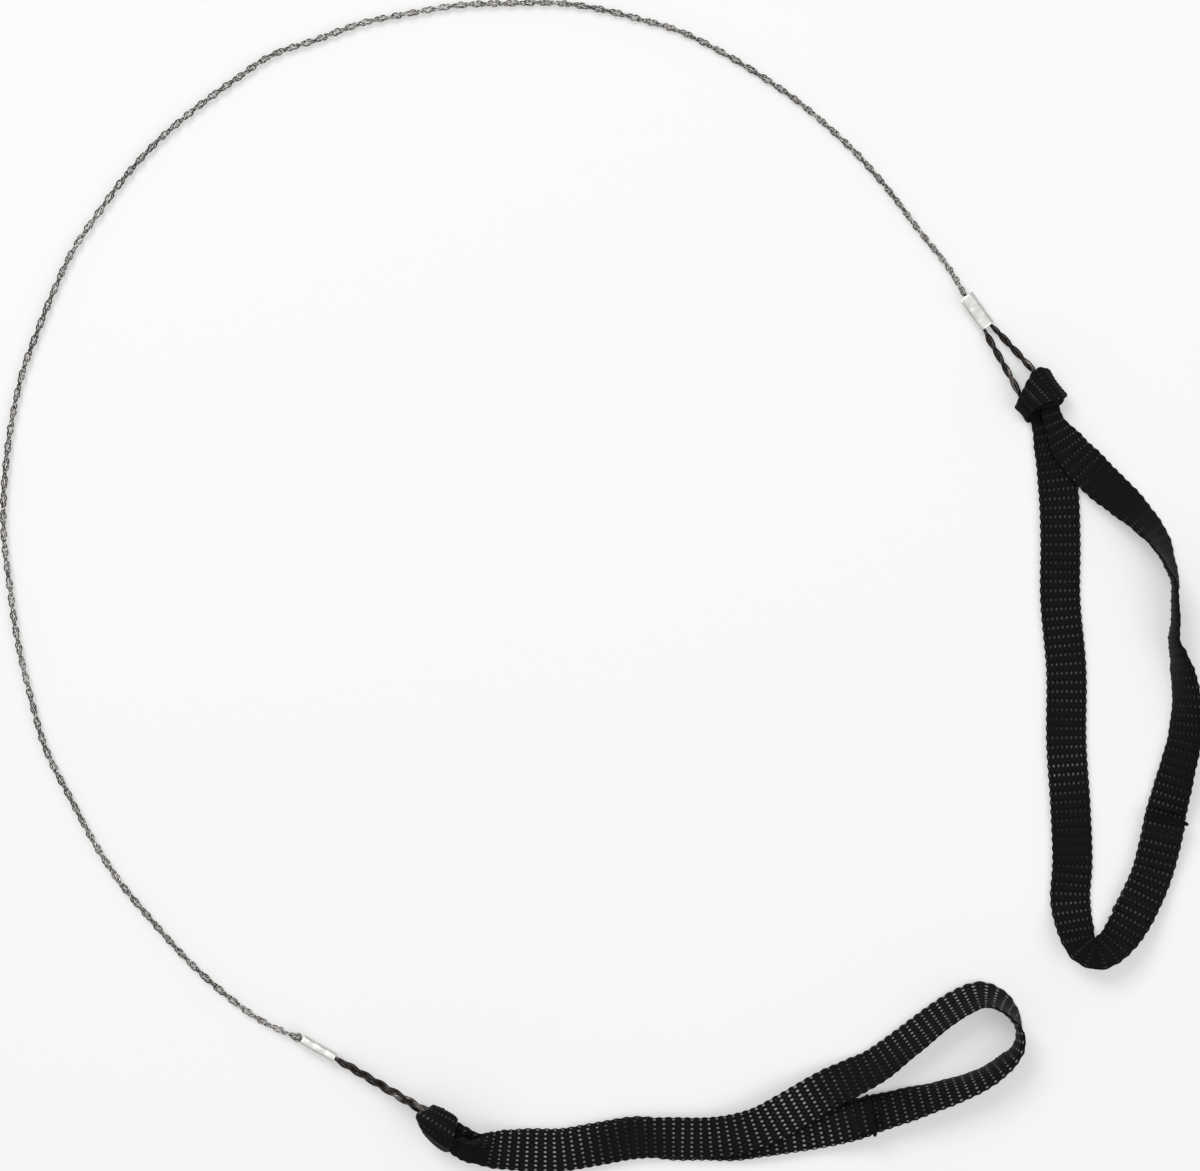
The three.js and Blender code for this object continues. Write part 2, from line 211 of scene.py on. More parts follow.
HANDLE_B_INWARD = [
    (0.0315, -0.095, 0.0016, 30), (0.025, -0.097, 0.0016, 12), (0.0165, -0.099, 0.0016, 0),
    (0.01, -0.1, 0.0016, 0), (0.003, -0.101, 0.0016, 0), (-0.003, -0.102, 0.0007, 0),
    (-0.01, -0.102, 0, 0), (-0.018, -0.102, 0, 0), (-0.027, -0.101, 0, 0), (-0.037, -0.1025, 0, 0),
    (-0.046, -0.104, 0, 0), (-0.054, -0.104, 0, 0), (-0.06, -0.104, 0, -8),
    (-0.0655, -0.103, 0, -30), (-0.07, -0.1005, 0, -60, 0.9), (-0.0735, -0.098, 0, -80, 0.8),
]
HANDLE_B_OUTWARD = [
    (-0.074, -0.0995, 0.0003, 270, 0.8), (-0.0705, -0.102, 0.0008, 242, 0.9),
    (-0.066, -0.1035, 0.0014, 211), (-0.061, -0.104, 0.0016, 188), (-0.054, -0.1045, 0.0016, 180),
    (-0.0465, -0.1045, 0.0016, 180), (-0.037, -0.103, 0.0016, 180),
    (-0.0285, -0.1015, 0.0016, 180), (-0.02, -0.101, 0.0016, 180), (-0.01, -0.101, 0.0018, 180),
    (-0.003, -0.1, 0.0028, 180), (0.0035, -0.098, 0.0032, 180), (0.011, -0.094, 0.0032, 178),
    (0.02, -0.089, 0.0016, 166), (0.026, -0.086, 0.0006, 152), (0.032, -0.083, 0, 142),
    (0.04, -0.077, 0, 134), (0.049, -0.07, 0, 128), (0.054, -0.067, 0, 126),
    (0.0585, -0.0655, 0, 123), (0.063, -0.067, 0, 116), (0.066, -0.07, 0, 106),
    (0.0675, -0.0725, 0, 97), (0.068, -0.0755, 0, 90), (0.067, -0.079, 0, 84),
    (0.064, -0.082, 0, 74), (0.06, -0.085, 0, 70), (0.056, -0.087, 0, 65), (0.048, -0.09, 0, 56),
    (0.0385, -0.093, 0, 40), (0.0315, -0.095, 0, 30), (0.025, -0.097, 0, 12),
    (0.0165, -0.099, 0, 0), (0.01, -0.1, 0, 0), (0.0045, -0.101, 0, 0),
]

# ---- camera ----

def make_camera():
    data = bpy.data.cameras.new("camera")
    data.lens = LENS
    data.sensor_width = SENSOR
    camera = bpy.data.objects.new("camera", data)
    camera.location = (*VIEW_CENTRE, VIEW_WIDTH * LENS / SENSOR)
    bpy.context.collection.objects.link(camera)
    bpy.context.scene.camera = camera


# ---- smooth lines ----

def unit(v):
    return v / np.linalg.norm(v, axis=-1, keepdims=True)


def smoothstep(x):
    x = np.clip(x, 0.0, 1.0)
    return x * x * (3 - 2 * x)


def waves(x, parts):
    return sum(height * np.sin(x * pitch + phase) for pitch, phase, height in parts)


def eased(distance, easing):
    height, reach = easing
    return height * np.exp(-distance / reach)


class Line:
    """A centripetal Catmull-Rom curve through the points, walked by length."""

    TABLE = 200
    TANGENT_STEP = 1e-4

    def __init__(self, points):
        p = np.asarray(points, float)
        self.p = np.vstack([2 * p[0] - p[1], p, 2 * p[-1] - p[-2]])
        self.spans = len(p) - 1
        self.table_t = np.linspace(0, 1, self.TABLE + 1)
        steps = np.linalg.norm(np.diff(self.at(self.table_t), axis=0), axis=1)
        self.table_s = np.concatenate([[0.0], np.cumsum(steps)])
        self.length = self.table_s[-1]

    def at(self, t):
        place = np.clip(np.atleast_1d(t), 0, 1) * self.spans
        i = np.minimum(place.astype(int), self.spans - 1)
        w = (place - i)[:, None]
        a, b, c, d = (self.p[i + k] for k in range(4))
        gap = [np.linalg.norm(q - r, axis=1)[:, None] ** 0.5 for q, r in ((b, a), (c, b), (d, c))]
        m1 = ((b - a) / gap[0] - (c - a) / (gap[0] + gap[1]) + (c - b) / gap[1]) * gap[1]
        m2 = ((c - b) / gap[1] - (d - b) / (gap[1] + gap[2]) + (d - c) / gap[2]) * gap[1]
        w2, w3 = w * w, w ** 3
        return (b * (2 * w3 - 3 * w2 + 1) + c * (3 * w2 - 2 * w3)
                + m1 * (w3 - 2 * w2 + w) + m2 * (w3 - w2))

    def t_of(self, share):
        return np.interp(np.asarray(share) * self.length, self.table_s, self.table_t)

    def tangent(self, t):
        t = np.atleast_1d(t)
        return unit(self.at(t + self.TANGENT_STEP) - self.at(t - self.TANGENT_STEP))


def turning_frames(points):
    """A pair of unit normals at each point, turning as little as they can."""
    tangents = unit(np.gradient(points, axis=0))
    start = UP if abs(tangents[0] @ UP) < 0.9 else np.array([1.0, 0.0, 0.0])
    first = np.empty_like(points)
    first[0] = unit(np.cross(tangents[0], start))
    for i in range(1, len(points)):
        carried = first[i - 1] - tangents[i] * (first[i - 1] @ tangents[i])
        first[i] = carried / np.linalg.norm(carried)
    return first, np.cross(tangents, first)


def turned(a, b, angle):
    """The direction at each angle, from a towards b."""
    return a * np.cos(angle)[:, None] + b * np.sin(angle)[:, None]


def spokes(points, sides):
    """The angles of a tube's sides, and their directions at each point."""
    a, b = turning_frames(points)
    angle = np.linspace(0, 2 * math.pi, sides, endpoint=False)
    return angle, a[:, None] * np.cos(angle)[None, :, None] + b[:, None] * np.sin(angle)[None, :, None]


# ---- mesh making ----

class Build:
    """Collects vertices, faces, a crown value and a length and width place for one object."""

    GIRTH = 0.003  # width of a tube's place, once round

    def __init__(self):
        self.parts = []
        self.count = 0

    def loops(self, rings, crown=None, place=None, closed_along=False):
        """Skins rings of points. Open tubes get a fan over each end."""
        n, k = rings.shape[:2]
        vertices = rings.reshape(-1, 3)
        i, j = np.meshgrid(np.arange(n if closed_along else n - 1), np.arange(k), indexing="ij")
        i, j = i.ravel(), j.ravel()
        up, right = (i + 1) % n, (j + 1) % k
        quads = np.stack([i * k + j, i * k + right, up * k + right, up * k + j], axis=1)
        if crown is None:
            crown = np.zeros((n, k))
        if place is None:
            gaps = np.linalg.norm(np.diff(rings[:, 0], axis=0), axis=1)
            along = np.concatenate([[0], np.cumsum(gaps)])
            girth = np.arange(k)[None] / k * self.GIRTH
            place = np.stack(np.broadcast_arrays(along[:, None], girth), axis=-1)
        faces = [quads]
        values, places = crown.ravel(), place.reshape(-1, 2)
        if not closed_along:
            centres = rings[[0, -1]].mean(axis=1)
            vertices = np.vstack([vertices, centres])
            values = np.concatenate([values, [0.0, 0.0]])
            places = np.vstack([places, place[[0, -1], 0]])
            base = n * k
            turn = np.arange(k)
            following = (turn + 1) % k
            last = (n - 1) * k
            no_fourth = np.full(k, -1)
            faces.append(np.stack([following, turn, np.full(k, base), no_fourth], axis=1))
            faces.append(np.stack([last + turn, last + following, np.full(k, base + 1), no_fourth], axis=1))
        offset = self.count
        faces = [np.where(f >= 0, f + offset, -1) for f in faces]
        self.parts.append((vertices, faces, values, places))
        self.count += len(vertices)

    def tube(self, points, radius, sides, crown=0.0):
        _, ring = spokes(points, sides)
        radii = np.broadcast_to(radius, len(points))[:, None, None]
        self.loops(points[:, None] + ring * radii, crown=np.full((len(points), sides), crown))

    def make(self, name):
        vertices = np.vstack([part[0] for part in self.parts]).astype(np.float32)
        crown = np.concatenate([part[2] for part in self.parts]).astype(np.float32)
        place = np.vstack([part[3] for part in self.parts]).astype(np.float32)
        faces = np.vstack([f for part in self.parts for f in part[1]])
        sizes = np.where(faces[:, 3] < 0, 3, 4)
        corners = faces.ravel()[(faces >= 0).ravel()]
        mesh = bpy.data.meshes.new(name)
        mesh.vertices.add(len(vertices))
        mesh.vertices.foreach_set("co", vertices.ravel())
        mesh.loops.add(len(corners))
        mesh.loops.foreach_set("vertex_index", corners.astype(np.int32))
        mesh.polygons.add(len(sizes))
        starts = np.concatenate([[0], np.cumsum(sizes)[:-1]])
        mesh.polygons.foreach_set("loop_start", starts.astype(np.int32))
        mesh.polygons.foreach_set("use_smooth", np.ones(len(sizes), bool))
        mesh.update(calc_edges=True)
        mesh.attributes.new("crown", "FLOAT", "POINT").data.foreach_set("value", crown)
        layer = mesh.uv_layers.new(name="place")
        layer.data.foreach_set("uv", place[corners].ravel())
        mesh.validate()
        piece = bpy.data.objects.new(name, mesh)
        bpy.context.collection.objects.link(piece)
        return piece


# ---- the two ends ----

def make_end(mouth, heading, roll, reach, rise):
    """A sleeve's mouth, its directions and the middle of its eye's bow, from degrees and metres."""
    heading, roll = math.radians(heading), math.radians(roll)
    forward = np.array([math.cos(heading), math.sin(heading), 0.0])
    level = np.cross(UP, forward)
    side = level * math.cos(roll) + np.cross(forward, level) * math.sin(roll)
    mouth = np.array(mouth)
    return {"mouth": mouth, "forward": forward, "side": side, "over": np.cross(forward, side),
            "reach": reach, "rise": rise, "bow": mouth + forward * reach + UP * rise}


ENDS = {
    "a": make_end(mouth=(0.0602, 0.1011, 0.0015), heading=-54.5, roll=0, reach=0.0205, rise=0.0013),
    "b": make_end(mouth=(-0.1026, -0.0813, 0.00215), heading=-29.5, roll=75, reach=0.0285, rise=0.0026),
}


def in_sleeve(end, back):
    """A point on the sleeve's middle line, back from its mouth."""
    return end["mouth"] - end["forward"] * back


def from_mouth(end, along, aside):
    """A point of the eye, which climbs from the mouth to the bow."""
    climb = end["rise"] * smoothstep(along / end["reach"])
    return end["mouth"] + end["forward"] * along + end["side"] * aside + UP * climb


def from_bow(end, local):
    """Points given as [forward, side, over] from the middle of the eye's bow."""
    local = np.asarray(local, float)
    return (end["bow"] + local[..., :1] * end["forward"]
            + local[..., 1:2] * end["side"] + local[..., 2:3] * end["over"])


# ---- saw wire ----

def wire_line():
    lying = [np.array([x, y, WIRE_Z]) for x, y in WIRE_ROUTE]
    lying[-1][2] = WIRE_RISE_B
    inset = SLEEVE_LENGTH - SLEEVE_GRIP
    a, b = ENDS["a"], ENDS["b"]
    back = SLEEVE_LENGTH - WIRE_STRAIGHT
    return Line([in_sleeve(a, inset), in_sleeve(a, back), *lying, in_sleeve(b, back), in_sleeve(b, inset)])


def curl(centre, forward):
    """The loose end of one fine wire, curled beside the sleeve's mouth."""
    turn = np.linspace(0, CURL_ANGLE, 40)
    radius = CURL_RADIUS + CURL_WOBBLE * np.sin(turn * 1.3)
    side = np.cross(UP, forward)
    return (centre + forward * (radius * np.cos(turn))[:, None]
            + side * (radius * np.sin(turn))[:, None] + UP * (CURL_CLIMB * turn)[:, None])


def make_saw_wire():
    line = wire_line()
    share = np.linspace(0, 1, int(line.length / WIRE_STEP))
    points = line.at(line.t_of(share))
    lift = WIRE_LIFT * smoothstep(share / WIRE_LIFT_EASE) * smoothstep((1 - share) / WIRE_LIFT_EASE)
    points = points + UP * lift[:, None]
    across, above = turning_frames(points)
    along = share * line.length
    build = Build()
    # The lay tightens beside sleeve A and wanders a little elsewhere.
    lay = along / WIRE_TURN + waves(along, [LAY_WAVE]) - eased(along, LAY_EASING)
    tight = 1 - eased(along, TIGHT_EASING) + waves(along, [TIGHT_WAVE])
    for strand in (0.0, 0.5):
        out = turned(across, above, 2 * math.pi * (lay + strand))
        core = points + out * (STRAND_OFFSET * tight)[:, None]
        for wire in (0.0, 0.5):
            turn = turned(across, above, 2 * math.pi * (along / PAIR_TURN + wire + strand * 0.5))
            build.tube(core + turn * PAIR_OFFSET, FINE_WIRE, WIRE_SIDES)
    end = ENDS["b"]
    loose = in_sleeve(end, SLEEVE_LENGTH + CURL_PAST_SLEEVE) + UP * CURL_LIFT
    build.tube(curl(loose, end["forward"]), CURL_WIRE, 6)
    piece = build.make("saw_wire_twist")
    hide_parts("saw_wire")
    return piece


# ---- wire eyes ----

def eye_line(end):
    straight = EYE_HALF_WIDTH - EYE_CORNER
    knee = end["reach"] - EYE_CORNER
    neck, neck_side = EYE_NECK
    half = list(EYE_START)
    for share in (0.35, 0.65):
        half.append((neck + (knee - neck) * share, neck_side + (EYE_HALF_WIDTH - neck_side) * share))
    for turn in (0, 45, 90):
        angle = math.radians(turn)
        half.append((knee + EYE_CORNER * math.sin(angle), straight + EYE_CORNER * math.cos(angle)))
    whole = half + [(end["reach"], 0.0)] + [(along, -aside) for along, aside in reversed(half)]
    return Line([from_mouth(end, along, aside) for along, aside in whole])


def make_eye(letter):
    end = ENDS[letter]
    line = eye_line(end)
    share = np.linspace(0, 1, int(line.length / EYE_STEP))
    points = line.at(line.t_of(share))
    across, above = turning_frames(points)
    along = share * line.length
    from_end = np.minimum(along, line.length - along)
    clear = smoothstep((from_end - SLEEVE_GRIP) / EYE_EASE)
    spread = EYE_OFFSET * (0.15 + 0.85 * clear)
    radius = EYE_STRAND * (0.72 + 0.28 * clear)
    paleness = smoothstep((from_end - EYE_BARE_FROM * end["reach"]) / EYE_BARE_EASE)[:, None]
    build = Build()
    for strand in (0.0, 0.5):
        core = points + turned(across, above, 2 * math.pi * (along / EYE_TURN + strand)) * spread[:, None]
        angle, ring = spokes(core, EYE_SIDES)
        spiral = EYE_RIDGES * (angle[None] + 2 * math.pi * along[:, None] / EYE_RIDGE_TURN)
        size = radius[:, None] * (1 + EYE_RIDGE_HEIGHT * np.cos(spiral))
        # The crown steers the colour: a painted highlight along each spiral ridge, and exposed steel on one
        # strand near the bow.
        build.loops(core[:, None] + ring * size[..., None],
                    crown=0.45 + 0.25 * np.cos(spiral) + 0.3 * paleness * (strand > 0))
    piece = build.make(f"wire_eye_{letter}_twist")
    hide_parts(f"wire_eye_{letter}")
    return piece


# ---- pressed sleeves ----

def make_sleeve(letter):
    end = ENDS[letter]
    half_w, half_h = SLEEVE_HALF
    angle = np.linspace(0, 2 * math.pi, SLEEVE_SIDES, endpoint=False)
    c, s = (np.sign(v) * np.abs(v) ** SLEEVE_ROUNDNESS for v in (np.cos(angle), np.sin(angle)))
    length, wall = SLEEVE_LENGTH, SLEEVE_WALL
    rim = [(x, wall * cut) for x, cut in SLEEVE_RIM]
    bore = [(x, wall * cut) for x, cut in SLEEVE_BORE]
    steps = np.linspace(SLEEVE_FLAT, length - SLEEVE_FLAT, 30)
    dent = PRESS_DEPTH * sum(np.exp(-((steps - mark) / PRESS_WIDTH) ** 2) for mark in PRESS_MARKS)
    outer = [*rim, *zip(steps, dent), *((length - x, inset) for x, inset in reversed(rim))]
    inner = [*((length - x, inset) for x, inset in bore), *reversed(bore)]
    rings = []
    for along, inset in outer + inner:
        flat = np.stack([c * (half_w - inset), s * (half_h - inset)], axis=1)
        # The wire end's corner is nipped off on one side.
        nip = (SLEEVE_NIP * smoothstep((-flat[:, 0] / half_w - 0.35) / 0.6)
               * smoothstep((along / length - 0.8) / 0.2))
        back = along - nip
        pitch, height = SLEEVE_WAVE
        wave = 1 + height * np.sin(along * pitch + 3 * angle)
        rings.append(end["mouth"] - end["forward"] * back[:, None]
                     + end["side"] * (flat[:, :1] * wave[:, None]) + end["over"] * flat[:, 1:])
    build = Build()
    build.loops(np.array(rings)[:, ::-1], closed_along=True)
    piece = build.make(f"crimp_sleeve_{letter}_pressed")
    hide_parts(f"crimp_sleeve_{letter}")
    return piece


# ---- webbing ----

def ribbon_line(stations):
    """The ribbon's middle line, and the roll and share of the full width at each station."""
    middle = []
    for x, y, lift, roll, *_ in stations:
        tilt = abs(math.sin(math.radians(roll))) * WEB_WIDTH / 2
        thick = abs(math.cos(math.radians(roll))) * WEB_THICKNESS / 2
        middle.append((x, y, lift + tilt + thick))
    twist = np.array([(s[3], s[4] if len(s) > 4 else 1.0) for s in stations], float)
    return Line(middle), twist


def ribbon_frames(stations, share):
    """Origin, tangent, across, normal and share of the full width at each share of the length."""
    line, twist = ribbon_line(stations)
    t = line.t_of(share)
    place = np.minimum(t, 1 - 1e-9) * (len(twist) - 1)
    i = place.astype(int)
    w = smoothstep(place - i)[:, None]
    roll, width = (twist[i] * (1 - w) + twist[i + 1] * w).T
    roll = np.radians(roll)[:, None]
    tangent = line.tangent(t)
    left = unit(np.cross(UP, tangent))
    across = left * np.cos(roll) + np.cross(tangent, left) * np.sin(roll)
    return line.at(t), tangent, across, np.cross(tangent, across), width


def section_at(stations, share):
    """Origin, tangent, across and normal at one place along a ribbon."""
    return [vectors[0] for vectors in ribbon_frames(stations, np.array([share]))[:4]]


def weave(along, across):
    """Height of the woven face from -1 to 1, and the strength of the painted highlight on the float there.
    """
    row = np.cos(2 * math.pi * along / RIB_PITCH)
    column = np.cos(2 * math.pi * across / FLOAT_PITCH)
    bold = np.maximum(row, 0) ** BOLD_POWER * (0.5 + 0.5 * column) ** FLOAT_POWER
    faint = np.maximum(-row, 0) ** FAINT_POWER * (0.5 - 0.5 * column) ** FLOAT_POWER
    return 2 * np.maximum(bold, FAINT_HEIGHT * faint) - 1, np.maximum(bold, FAINT_ROW * faint)


def add_webbing(build, origin, across, normal, half, start, cup, glint):
    """A woven band along the given frames, half its width to each side, hollowed by cup.

    start is the length of strap before it, and the length after it is returned. glint scales
    the painted float highlight, at each place along the band.
    """
    gaps = np.linalg.norm(np.diff(origin, axis=0), axis=1)
    s = start + np.concatenate([[0.0], np.cumsum(gaps)])
    x = np.linspace(-1, 1, WEB_CELLS + 1)
    x = (1 - EDGE_CROWDING) * x + EDGE_CROWDING * np.sin(math.pi * x / 2)
    scallop = 1 + SCALLOP * np.cos(2 * math.pi * s / RIB_PITCH)
    wave = waves(s, WEB_WAVES)
    rings, crowns, places = [], [], []
    for face, columns in ((1, x), (-1, x[-2:0:-1])):
        w = columns[None] * half[:, None]
        hollow = np.broadcast_to(cup, len(s))[:, None] * (0.5 - columns ** 2)[None]
        # The weave keeps its pitch at full width, and is crowded where the band is gathered.
        cloth = columns * WEB_WIDTH / 2
        thick = WEB_THICKNESS / 2 * np.sqrt(np.maximum(0.0, 1 - np.abs(columns) ** EDGE_POWER))[None]
        height, crown = weave(s[:, None] + (0 if face > 0 else RIB_PITCH / 2), cloth[None])
        fade = np.clip((1 - np.abs(columns)) / EDGE_FADE, 0, 1)[None]
        rib = -face * RIB_HEIGHT * np.cos(2 * math.pi * s / RIB_PITCH)[:, None]
        rise = thick - FLOAT_HEIGHT / 2 * fade + (FLOAT_HEIGHT / 2 * height + rib) * fade
        rings.append(origin[:, None] + across[:, None] * (w * scallop[:, None])[..., None]
                     + normal[:, None] * (wave[:, None] + face * rise + hollow)[..., None])
        # The crown carries the painted float highlight, scaled by glint.
        crowns.append(crown * fade * np.broadcast_to(glint, len(s))[:, None])
        places.append(np.stack(np.broadcast_arrays(s[:, None], cloth[None]), axis=-1))
    ring = np.concatenate(rings, axis=1)
    build.loops(ring[:, ::-1], crown=np.concatenate(crowns, axis=1)[:, ::-1],
                place=np.concatenate(places, axis=1)[:, ::-1])
    return s[-1]


def add_ribbon(build, stations, start, glint, cut_end):
    """A length of strap with its cut end, folded up a little where it was sealed, at share 0 or 1."""
    line, _ = ribbon_line(stations)
    share = np.linspace(0, 1, int(line.length / WEB_STEP))
    origin, _, across, normal, width = ribbon_frames(stations, share)
    cup = CUP * smoothstep((1 - np.abs(normal[:, 2])) / CUP_FULL)
    along = np.abs(share - cut_end) * line.length
    height, reach = END_BUMP
    origin = origin + normal * (height * np.exp(-(along / reach) ** 2))[:, None]
    return add_webbing(build, origin, across, normal, width * WEB_WIDTH / 2, start, cup, glint)


def add_band(build, end, eye_edge, handle_edge, start):
    """A band of the hitch between its two edges, given as [forward, side, over] from the bow."""
    low = Line(from_bow(end, np.array(eye_edge) * 0.001))
    high = Line(from_bow(end, np.array(handle_edge) * 0.001))
    share = np.linspace(0, 1, int(max(low.length, high.length) / WEB_STEP))
    a, b = low.at(share), high.at(share)
    origin = (a + b) / 2
    width = np.linalg.norm(b - a, axis=1)
    tangent = unit(np.gradient(origin, axis=0))
    across = (b - a) / width[:, None]
    normal = unit(np.cross(tangent, across))
    # The painted float highlight peaks at one place along the band.
    middle, reach = BAND_GLINT
    glint = BAND_GLINT_LEAST + (1 - BAND_GLINT_LEAST) * np.exp(-((share - middle) / reach) ** 2)
    return add_webbing(build, origin, across, normal, width / 2, start, BAND_BULGE, glint)


# ---- hitches: [forward, side, over] from the middle of the eye's bow, millimetres ----

HITCH = {
    "a": {
        "band": (
            [(1.0, -4.2, -2.0), (0.2, -5.4, -1.6), (-0.4, -5.8, 0.2), (-1.4, -4.8, 2.2), (-2.9, -2.3, 2.9),
             (-4.3, 0.3, 3.1), (-5.1, 2.6, 3.0), (-4.7, 4.4, 2.6), (-3.4, 5.6, 1.2), (-2.2, 5.8, -1.0),
             (-1.5, 4.5, -2.0)],
            [(5.6, -4.0, -2.0), (5.0, -5.0, -1.8), (4.4, -5.5, -0.2), (3.6, -4.9, 1.6), (3.0, -3.0, 2.8),
             (3.2, 0.2, 3.3), (4.0, 2.2, 3.4), (4.8, 3.8, 3.1), (5.1, 5.0, 2.2), (4.9, 5.7, 0.6),
             (4.5, 5.5, -1.1), (4.5, 4.4, -2.0)],
        ),
        "under": (
            [(-0.5, 5.0, -1.6), (-0.6, 2.5, -1.9), (-0.5, 0.0, -2.0), (-0.4, -2.5, -1.9), (0.2, -5.0, -1.6)],
            [(5.6, 5.0, -1.6), (6.2, 2.5, -1.9), (6.6, 0.0, -2.0), (6.6, -2.5, -1.9), (6.0, -4.8, -1.6)],
        ),
        "wrap_half": 2.2,
    },
    "b": {
        "band": (
            [(-0.6, -3.9, -0.6), (-1.6, -1.6, -1.3), (-1.8, 1.2, -1.4), (-2.1, 3.4, -0.9), (-3.2, 4.2, 0.6),
             (-4.3, 3.9, 2.2), (-3.0, 2.8, 3.6), (-0.9, 0.6, 4.4), (0.3, -1.8, 4.2), (0.8, -3.8, 3.0)],
            [(5.3, -4.2, -1.2), (5.4, -1.8, -1.9), (5.5, 1.4, -2.1), (5.6, 4.0, -1.7), (6.2, 5.0, 0.8),
             (6.8, 5.0, 3.2), (7.2, 3.6, 5.3), (7.4, 0.6, 6.0), (7.4, -2.0, 5.6), (7.0, -4.0, 4.0)],
        ),
        "under": (
            [(0.8, -3.9, 3.0), (0.2, -4.2, 1.4), (-0.2, -4.2, 0.3), (-0.6, -3.9, -0.8)],
            [(7.0, -4.0, 4.0), (6.4, -4.3, 2.0), (5.8, -4.3, 0.4), (5.3, -4.1, -1.2)],
        ),
        "tongue": (
            [(2.0, 3.2, -1.2), (6.0, 3.0, -1.4), (9.5, 1.9, -1.5), (13.0, 0.6, -1.4), (16.0, 0.0, -1.0)],
            [(2.0, 2.6, 4.6), (6.0, 2.2, 5.7), (9.5, 1.2, 6.2), (13.0, -0.4, 5.8), (16.3, -1.0, 4.3)],
        ),
        "wrap_half": 2.0,
    },
}
WRAP_RADIUS = 2.0
WRAP_REACH = 3.6


def add_wrap(build, end, half, start):
    """The gathered turn of webbing round the eye's bow."""
    turn = [math.radians(angle) for angle in (90, 135, 180, 225, 270)]
    round_bow = [(WRAP_RADIUS * math.cos(a), WRAP_RADIUS * math.sin(a)) for a in turn]
    path = [(WRAP_REACH, WRAP_RADIUS * 0.75), (WRAP_REACH / 2, WRAP_RADIUS), *round_bow,
            (WRAP_REACH / 2, -WRAP_RADIUS), (WRAP_REACH, -WRAP_RADIUS * 0.85)]
    low = [(along, -half, above) for along, above in path]
    high = [(along, half, above) for along, above in path]
    return add_band(build, end, low, high, start)


def add_lip(build, stations):
    """The outer cut end, folded and sealed into a lumpy roll that stands proud of both edges."""
    origin, tangent, across, normal = section_at(stations, 0.0)
    x = np.linspace(LIP_FROM, LIP_TO, 60)
    lump = waves(x, LIP_LUMPS)
    points = (origin + across * x[:, None] + normal * (LIP_RADIUS + lump)[:, None]
              + tangent * (0.0002 + 0.5 * lump + 12 * (x ** 2))[:, None])
    ends = np.minimum(1, np.sqrt(np.maximum(0.02, 1 - (x / LIP_ROUNDING) ** 8)))
    build.tube(points, (LIP_RADIUS + lump) * ends, LIP_SIDES)


def make_strap(letter, inward, outward):
    end, hitch = ENDS[letter], HITCH[letter]
    build = Build()
    s = add_ribbon(build, inward, 0.0, STRAP_GLINT[letter], cut_end=0)
    s = add_wrap(build, end, hitch["wrap_half"], s)
    for turn in ("band", "under", "tongue"):
        if turn in hitch:
            s = add_band(build, end, *hitch[turn], s)
    add_ribbon(build, outward, s, STRAP_GLINT[letter], cut_end=1)
    add_lip(build, inward)
    piece = build.make(f"webbing_{letter}")
    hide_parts(f"webbing_strap_{letter}")
    return piece


# ---- stitches and loose threads ----

def stitch_row(build, origin, tangent, across, normal, level):
    """One row of zigzag stitches on a face of the overlap."""
    x = np.linspace(-STITCH_REACH, STITCH_REACH, STITCHES)
    side = np.where(np.arange(STITCHES) % 2 == 0, 1, -1)
    points = (origin + across * x[:, None] + tangent * (STITCH_HALF * side)[:, None]
              + normal * (level - STITCH_PULL * side)[:, None])
    line = Line(points)
    build.tube(line.at(np.linspace(0, 1, STITCHES * 6)), THREAD, THREAD_SIDES)


def make_tacks(letter, outward):
    """Each bar tack: a row of stitches on both faces of the strap's overlap."""
    face = WEB_THICKNESS / 2 + STITCH_PROUD
    for number, share in enumerate(TACKS[letter], 1):
        place = section_at(outward, share)
        build = Build()
        stitch_row(build, *place, LAYER + face)
        stitch_row(build, *place, -face)
        piece = build.make(f"bar_tack_{letter}_{number}_thread")
        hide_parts(f"bar_tack_{letter}_{number}")
        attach(piece, f"handle_{letter}")
        piece.data.materials.append(MATERIALS["stitch_thread"])


def make_frays(letter, ends, draw):
    """Loose threads at the cut ends of a strap."""
    build = Build()
    steps = np.linspace(0, 1, 9)[:, None]
    for (stations, share, outwards), count in zip(ends, FRAY_COUNTS):
        origin, tangent, across, normal = section_at(stations, share)
        for _ in range(count):
            place = draw.uniform(-FRAY_PLACE, FRAY_PLACE)
            reach = draw.uniform(*FRAY_REACH)
            lean = draw.uniform(-FRAY_LEAN, FRAY_LEAN)
            lift = draw.uniform(0.0, FRAY_LIFT)
            root = origin + across * place + normal * draw.uniform(-FRAY_DEPTH, FRAY_DEPTH)
            points = (root + tangent * (outwards * reach * steps) + across * (lean * reach * steps ** 2)
                      + normal * (lift * reach * np.sin(steps * 2.2)))
            build.tube(points, FRAY_RADIUS, FRAY_SIDES, crown=FRAY_CROWN)
    return build.make(f"fray_{letter}")


# ---- materials ----

def ramp(nodes, stops):
    made = nodes.new("ShaderNodeValToRGB")
    elements = made.color_ramp.elements
    while len(elements) < len(stops):
        elements.new(0.5)
    for element, (position, colour) in zip(elements, stops):
        element.position = position
        element.color = (*colour, 1)
    return made


